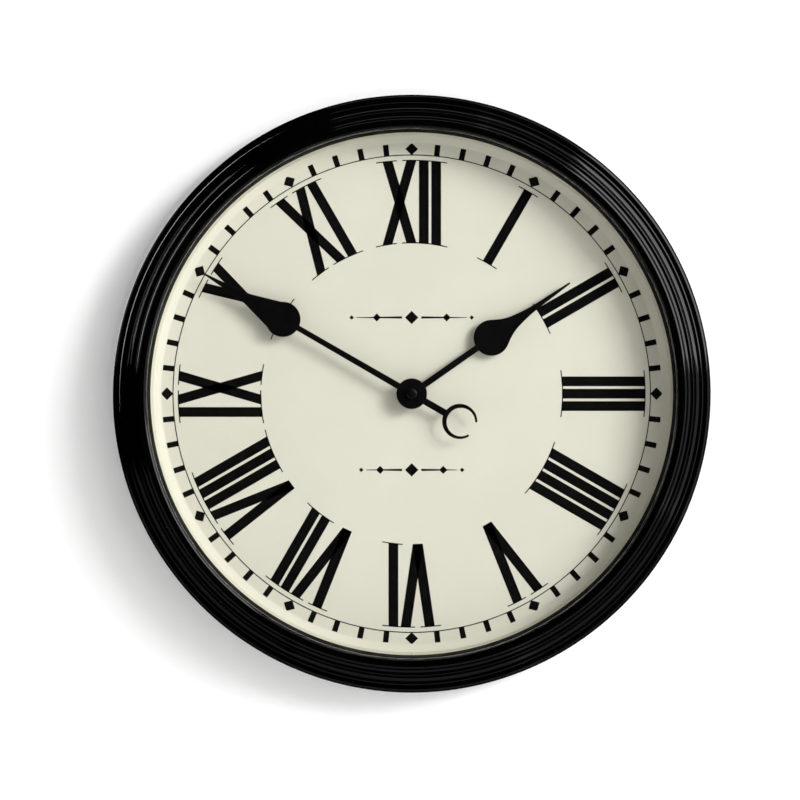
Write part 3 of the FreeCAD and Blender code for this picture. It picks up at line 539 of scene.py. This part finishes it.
class Print:
    """Flat shapes printed on the dial, gathered into one thin mesh."""

    def __init__(self):
        self.vertices, self.faces = [], []

    def patch(self, outline):
        """A flat shape of (x, z) points."""
        base, count = len(self.vertices), len(outline)
        y = FRONT + DIAL_D - PRINT_LIFT
        self.vertices += [(x, y, z) for x, z in outline]
        self.vertices += [(x, y - PRINT_THICK, z) for x, z in outline]
        self.faces.append(tuple(range(base, base + count)))
        self.faces.append(tuple(range(base + count, base + 2 * count)))
        for i in range(count):
            n = (i + 1) % count
            self.faces.append((base + i, base + n, base + count + n, base + count + i))

    def band(self, low, high, start, sweep, steps):
        """Part of a ring, from angle start through sweep."""
        full = sweep >= 360
        base = len(self.vertices)
        count = steps if full else steps + 1
        y = FRONT + DIAL_D - PRINT_LIFT
        for i in range(count):
            a = start + sweep * i / steps
            for r, lift in ((low, 0), (high, 0), (high, PRINT_THICK), (low, PRINT_THICK)):
                x, z = at_clock(r, a)
                self.vertices.append((x, y - lift, z))
        for i in range(steps):
            here, there = base + 4 * i, base + 4 * ((i + 1) % count)
            for k in range(4):
                n = (k + 1) % 4
                self.faces.append((here + k, here + n, there + n, there + k))
        if not full:
            self.faces.append((base, base + 1, base + 2, base + 3))
            last = base + 4 * (count - 1)
            self.faces.append((last, last + 1, last + 2, last + 3))

    def finish(self, name, material):
        return mesh_object(name, self.vertices, self.faces, material, CASE, smooth=False)


def on_ray(angle, out, side):
    """A point at a distance out along an angle, and to its clockwise side."""
    a = math.radians(angle)
    return out * math.sin(a) + side * math.cos(a), out * math.cos(a) - side * math.sin(a)


def minute_track(ink):
    """Two fine rings with a bar at each minute and a lozenge at each hour."""
    track = Print()
    for r in (TRACK_IN, TRACK_OUT):
        track.band(r - TRACK_LINE / 2, r + TRACK_LINE / 2, 0, 360, 360)
    middle = (TRACK_IN + TRACK_OUT) / 2
    half, long, wide = MARK_WIDTH / 2, LOZENGE_LONG / 2, LOZENGE_WIDE / 2
    for minute in range(60):
        angle = 6 * minute
        if minute % 5:
            corners = ((TRACK_IN, -half), (TRACK_IN, half), (TRACK_OUT, half), (TRACK_OUT, -half))
        else:
            corners = ((middle - long, 0), (middle, wide), (middle + long, 0), (middle, -wide))
        track.patch([on_ray(angle, out, side) for out, side in corners])
    track.finish("print_minute_track", ink)


def stroke(sheet, angle, outer, inner, width):
    """A straight stroke from the outer serif to the inner one, at sides outer and inner."""
    half = width / 2
    corners = (
        (radius_to(SERIF_OUT, outer - half), outer - half),
        (radius_to(SERIF_OUT, outer + half), outer + half),
        (radius_to(SERIF_IN, inner + half), inner + half),
        (radius_to(SERIF_IN, inner - half), inner - half),
    )
    sheet.patch([on_ray(angle, out, side) for out, side in corners])


def radius_to(radius, side):
    """How far out a circle of this radius is, at this distance to the side."""
    return math.sqrt(radius * radius - side * side)


def serif(sheet, angle, radius, low, high, inward):
    """A fine arc on a circle, between two sides."""
    first = angle + math.degrees(math.asin(low / radius))
    sweep = math.degrees(math.asin(high / radius) - math.asin(low / radius))
    near, far = (radius - SERIF, radius) if inward else (radius, radius + SERIF)
    sheet.band(near, far, first, sweep, 14)


def letter_width(letter):
    return STROKE if letter == "I" else LEGS + DIAGONAL


def advance(left, right):
    """The gap between two letters."""
    if left == "I" and right == "I":
        return PITCH_I - STROKE
    return GAP_NEXT


def numeral(sheet, text, angle):
    """One numeral, with its foot towards the centre, read clockwise."""
    gaps = [advance(a, b) for a, b in zip(text, text[1:])]
    total = sum(map(letter_width, text)) + sum(gaps)
    side = -total / 2
    outer_marks, inner_marks = [], []
    for letter, gap in zip(text, [*gaps, 0]):
        width = letter_width(letter)
        if letter == "I":
            stroke(sheet, angle, side + STROKE / 2, side + STROKE / 2, STROKE)
            outer_marks.append((side, side + STROKE))
            inner_marks.append((side, side + STROKE))
        else:
            left, right = side + DIAGONAL / 2, side + width - DIAGONAL / 2
            outer_marks += [(left - DIAGONAL / 2, left + DIAGONAL / 2)]
            outer_marks += [(right - DIAGONAL / 2, right + DIAGONAL / 2)]
            if letter == "X":
                stroke(sheet, angle, left, right, DIAGONAL)
                stroke(sheet, angle, right, left, DIAGONAL)
                inner_marks += outer_marks[-2:]
            else:
                middle = (left + right) / 2
                stroke(sheet, angle, left, middle, DIAGONAL)
                stroke(sheet, angle, right, middle, DIAGONAL)
                inner_marks.append(None)
        side += width + gap
    serif_row(sheet, angle, SERIF_OUT, outer_marks, True)
    serif_row(sheet, angle, SERIF_IN, inner_marks, False)


def serif_row(sheet, angle, radius, marks, inward):
    """Serifs that run on over close strokes and stop in the wide gaps."""
    run = []
    for mark in [*marks, None]:
        near = run and mark and mark[0] - run[-1][1] < CLOSE_GAP
        if run and not near:
            low, high = run[0][0], run[-1][1]
            low -= OVERHANG_OUT if run[0] == marks[0] else OVERHANG_GAP
            high += OVERHANG_OUT if run[-1] == marks[-1] else OVERHANG_GAP
            serif(sheet, angle, radius, low, high, inward)
            run = []
        if mark:
            run.append(mark)


def numerals(ink):
    for hour, text in enumerate(ROMAN):
        sheet = Print()
        numeral(sheet, text, 30 * hour)
        sheet.finish(f"print_numeral_{hour or 12}", ink)


def ornament(ink, name, height, half):
    """A small rule that tapers to each side of a lozenge, with a dot at each end."""
    sheet = Print()
    for s in (1, -1):
        rule = ((8, 0.95), (half, 0.25), (half, -0.25), (8, -0.95))
        sheet.patch([(s * out, height + up) for out, up in rule])
        for x in (half + 4, 13.0 + half * 0.35):
            sheet.patch(lozenge(s * x, height, 1.9 if x > half else 3.4))
    sheet.patch(lozenge(0, height, 5.6))
    sheet.finish(name, ink)


def lozenge(x, z, reach):
    return [(x - reach, z), (x, z + reach), (x + reach, z), (x, z - reach)]


# Hands


def smooth_through(points, steps):
    """A Catmull-Rom curve through (distance, half width) points."""
    padded = [points[0], *points, points[-1]]
    made = []
    for i in range(1, len(padded) - 2):
        p0, p1, p2, p3 = (Vector(padded[k]) for k in (i - 1, i, i + 1, i + 2))
        for k in range(steps):
            t = k / steps
            square = (2 * p0 - 5 * p1 + 4 * p2 - p3) * t * t
            cube = (3 * p1 - p0 - 3 * p2 + p3) * t**3
            made.append(tuple(0.5 * (2 * p1 + (p2 - p0) * t + square + cube)))
    return [*made, tuple(points[-1])]


def bulb(centre, radius, start, end, steps):
    """Points round a bulb, by angle from the way the hand points."""
    made = []
    for i in range(steps + 1):
        a = math.radians(start + (end - start) * i / steps)
        made.append((centre + radius * math.cos(a), radius * math.sin(a)))
    return made


def both_sides(half_outline):
    """A whole outline from one side's points, tail to tip."""
    return [*half_outline, *[(d, -w) for d, w in reversed(half_outline)]]


def hand_blade(name, outline, angle, depth, body, materials, cad_node):
    """A flat outline of (distance, side) points, raised into a sheet with eased edges."""
    mesh = bpy.data.meshes.new(name)
    shape = bmesh.new()
    corners = []
    for d, w in outline:
        x, z = on_ray(angle, d, w)
        corners.append(shape.verts.new(Vector((x, FRONT + depth, z)) * MM))
    shape.faces.new(corners)
    raised = bmesh.ops.extrude_face_region(shape, geom=shape.faces[:])
    moved = [v for v in raised["geom"] if isinstance(v, bmesh.types.BMVert)]
    bmesh.ops.translate(shape, verts=moved, vec=Vector((0, -HAND_THICK * MM, 0)))
    bmesh.ops.recalc_face_normals(shape, faces=shape.faces)
    shape.to_mesh(mesh)
    shape.free()
    mesh.materials.append(materials["hand_black"])
    made = bpy.data.objects.new(name, mesh)
    bpy.context.scene.collection.objects.link(made)
    edge = made.modifiers.new("eased_edge", "BEVEL")
    edge.width = HAND_EDGE * MM
    edge.segments = 3
    edge.limit_method = "ANGLE"
    edge.angle_limit = math.radians(60)
    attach(made, body)
    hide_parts(cad_node)


def minute_outline():
    """One side of the hand beyond its hub: a thin stem, a round bulb and a spear."""
    flank = smooth_through([(134.6, 9.3), (145, 7.35), (157, 4.7), (178, 2.45), (197.7, 0.75)], 8)
    round_bulb = bulb(123.4, 14.6, 171, 41, 26)
    return [(60, 2.45), *round_bulb, *flank, (198.3, 0.35)]


def minute_hand(materials):
    """A tail with an open crescent, a hub and a spear, from one side's points."""
    hub = bulb(0, 7.5, 158, 21, 16)
    outer, inner, tail_half = 14.6, 11.8, 2.8
    reach = math.degrees(math.asin(tail_half / outer))
    around = bulb(-46, outer, reach, 180 - 30, 40)
    inside = bulb(-47.1, inner, 180 - 33, 0, 40)
    tip = crescent_tip(around[-1], inside[0])
    one_side = [*reversed(inside), *reversed(tip), *reversed(around)]
    whole = both_sides([*one_side, *hub, *minute_outline()])
    hand_blade("minute_hand_blade", whole, MINUTE_ANGLE, MINUTE_D, MINUTE, materials, "minute_hand")


def crescent_tip(a, b, steps=6):
    """The round end of the crescent between two points."""
    a, b = Vector(a), Vector(b)
    centre, arm = (a + b) / 2, (a - b) / 2
    across = Vector((arm.y, -arm.x))
    if across.x > 0:
        across = -across
    return [
        tuple(centre + arm * math.cos(t) + across * math.sin(t))
        for t in (math.pi * k / steps for k in range(1, steps))
    ]


def hour_hand(materials):
    """A hub, a stem, a round bulb and a spear."""
    flank = smooth_through(
        [(88.2, 13.05), (95.6, 8.7), (103, 5.75), (112, 3.95), (124.5, 2.45), (159.8, 0.8)], 8
    )
    hub = bulb(0, 8.5, 180, 18, 24)
    side = [*hub, *bulb(81, 14.9, 170, 64, 22), *flank, (160.6, 0.4)]
    hand_blade("hour_hand_blade", both_sides(side), HOUR_ANGLE, HOUR_D, HOUR, materials, "hour_hand")


def hub_and_cap(materials):
    """The disc on the minute hand, and the domed cap nut that holds both down."""
    black = materials["hand_black"]
    hand, disc = MINUTE_D - HAND_THICK, MINUTE_D - HAND_THICK - 1.0
    bore, disc_edge = 1.8, 12.7
    corners = [(bore, hand), (disc_edge, hand), (disc_edge, disc), (bore, disc)]
    made = turned("hub_disc_plate", eased(corners, 0.25, 3), 96, black, MINUTE)
    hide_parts("hub_disc")
    middle, edge, shoulder = 0.01, 4.35, 3.1
    outline = [(middle, disc - 0.05), (edge, disc - 0.05), (edge, disc - 1.9)]
    outline += bend((edge, disc - 1.9), (4.2, disc - 2.55), (shoulder, disc - 2.9), 6)
    outline += bend((shoulder, disc - 2.9), (1.6, disc - 3.45), (middle, disc - 3.5), 6)
    made = turned("cap_nut_dome", outline, 72, black, MINUTE)
    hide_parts("cap_nut")


# The CAD nodes


def dress_cad_nodes(materials):
    """Every CAD node gets its slot's material. Those that no piece replaces stay in view."""
    slots = {p["node"]: p["material_slot"] for p in frame["record"]["subparts"]}
    for name, piece in frame["nodes"].items():
        piece.data.materials.clear()
        piece.data.materials.append(materials[slots[name]])
        piece.data.set_sharp_from_angle(angle=math.radians(30))


# The room, the light and the camera


def plain(name, color, rough):
    """The nodes of a nearly even matt colour."""
    n = Nodes(name)
    n.tint(n.noise(3, 3), tuple(c * 0.985 for c in color), color)
    n.roughness(n.noise(8, 3), rough, rough + 0.05)
    return n


def one_sided(n):
    """Seen only from the side that the face's normal points to."""
    facing = n.add("ShaderNodeNewGeometry")
    clear = n.add("ShaderNodeBsdfTransparent")
    mix = n.add("ShaderNodeMixShader")
    n.join(facing, "Backfacing", mix, 0)
    n.join(n.shader, "BSDF", mix, 1)
    n.join(clear, "BSDF", mix, 2)
    n.join(mix, "Shader", n.out, "Surface")
    return n.material


def sheet_object(name, corners, material):
    """A flat sheet of the room, in metres."""
    mesh = bpy.data.meshes.new(name)
    mesh.from_pydata([Vector(c) for c in corners], [], [(0, 1, 2, 3)])
    mesh.materials.append(material)
    made = bpy.data.objects.new(name, mesh)
    bpy.context.scene.collection.objects.link(made)
    return made


def room():
    """A white wall and a pale floor, kept out of the lacquer's reflections."""
    wall_y, floor_z, far = 0.031, -1.3, 6.0
    lit = plain("white_wall", (0.9, 0.9, 0.9), 0.9)
    lit.set(Emission_Color=(1, 1, 1, 1), Emission_Strength=0.16)
    floor = plain("pale_floor", (0.82, 0.82, 0.81), 0.8)
    wall_corners = [
        (-far, wall_y, floor_z),
        (far, wall_y, floor_z),
        (far, wall_y, far),
        (-far, wall_y, far),
    ]
    floor_corners = [
        (-far, -far, floor_z),
        (far, -far, floor_z),
        (far, far, floor_z),
        (-far, far, floor_z),
    ]
    wall_sheet = sheet_object("wall", wall_corners, one_sided(lit))
    floor_sheet = sheet_object("floor", floor_corners, one_sided(floor))
    for sheet in (wall_sheet, floor_sheet):
        sheet.visible_glossy = False


def toward(azimuth, tilt, distance):
    """A place seen from the clock: clockwise from above, and tilted from straight ahead."""
    a, t = math.radians(azimuth), math.radians(tilt)
    return Vector((math.sin(t) * math.sin(a), -math.cos(t), math.sin(t) * math.cos(a))) * distance


def area_light(name, azimuth, tilt, distance, size, radiance):
    """A light aimed at the clock. Its width runs round the clock, its height front to back."""
    light = bpy.data.lights.new(name, "AREA")
    light.shape = "RECTANGLE"
    light.size, light.size_y = size
    light.energy = radiance * math.pi * size[0] * size[1]
    made = bpy.data.objects.new(name, light)
    place = toward(azimuth, tilt, distance)
    a = math.radians(azimuth)
    round_clock = Vector((math.cos(a), 0, -math.sin(a)))
    away = place.normalized()
    turn = Matrix((round_clock, away.cross(round_clock), away)).transposed()
    made.matrix_world = Matrix.Translation(place) @ turn.to_4x4()
    bpy.context.scene.collection.objects.link(made)
    return made


# What the lacquer mirrors: where each card stands, its size in metres and its radiance

CARDS = (
    ("card_right", 60, 74, 2.6, (2.2, 1.8), 2.9),
    ("card_far_right", 98, 74, 2.6, (1.6, 1.6), 0.45),
    ("card_upper_right", 26, 78, 2.6, (1.1, 1.2), 0.4),
    ("card_below_right", 135, 74, 2.6, (2.2, 1.9), 0.22),
    ("card_below", 180, 74, 2.6, (2.4, 1.9), 0.22),
    ("card_below_left", 230, 74, 2.6, (2.2, 1.9), 0.17),
    ("card_above", 0, 85, 2.6, (1.5, 0.42), 0.7),
    ("card_left", 292, 84, 2.6, (1.5, 0.42), 0.7),
)


def lights():
    """A key, a broad fill and a sky light the matt surfaces. The cards are only mirrored."""
    key = area_light("key_right", 63, 54.7, 9, (2.6, 3.0), 26)
    fill = area_light("fill_right", 60, 50, 9, (7, 7), 2.6)
    for light in (key, fill):
        light.visible_glossy = False
    area_light("back_light", 300, 135, 3.0, (2.0, 2.0), 3.0)
    for card in CARDS:
        area_light(*card).visible_diffuse = False
    world = bpy.data.worlds.new("studio")
    world.use_nodes = True
    back = world.node_tree.nodes["Background"]
    back.inputs["Color"].default_value = (1, 1, 1, 1)
    back.inputs["Strength"].default_value = 0.23
    world.cycles_visibility.glossy = False
    bpy.context.scene.world = world


def camera():
    """Straight ahead of the hands' axis, with a long lens shifted a little left and down."""
    distance = 2.4
    data = bpy.data.cameras.new("camera")
    data.sensor_width = 36.0
    data.lens = 131.4
    data.shift_x = -0.014625
    data.shift_y = -0.007875
    data.clip_start, data.clip_end = 0.05, 50
    made = bpy.data.objects.new("camera", data)
    made.location = (0, FRONT * MM - distance, 0)
    made.rotation_euler = (math.radians(90), 0, 0)
    bpy.context.scene.collection.objects.link(made)
    bpy.context.scene.camera = made


def main():
    bpy.context.scene.view_settings.view_transform = "Standard"
    materials = all_materials()
    dress_cad_nodes(materials)
    case_ring(materials)
    lens(materials)
    gasket(materials)
    spacer(materials)
    dial(materials)
    minute_track(materials["ink"])
    numerals(materials["ink"])
    ornament(materials["ink"], "print_ornament_upper", 63.5, 46)
    ornament(materials["ink"], "print_ornament_lower", -63.5, 38)
    minute_hand(materials)
    hour_hand(materials)
    hub_and_cap(materials)
    room()
    lights()
    camera()


main()
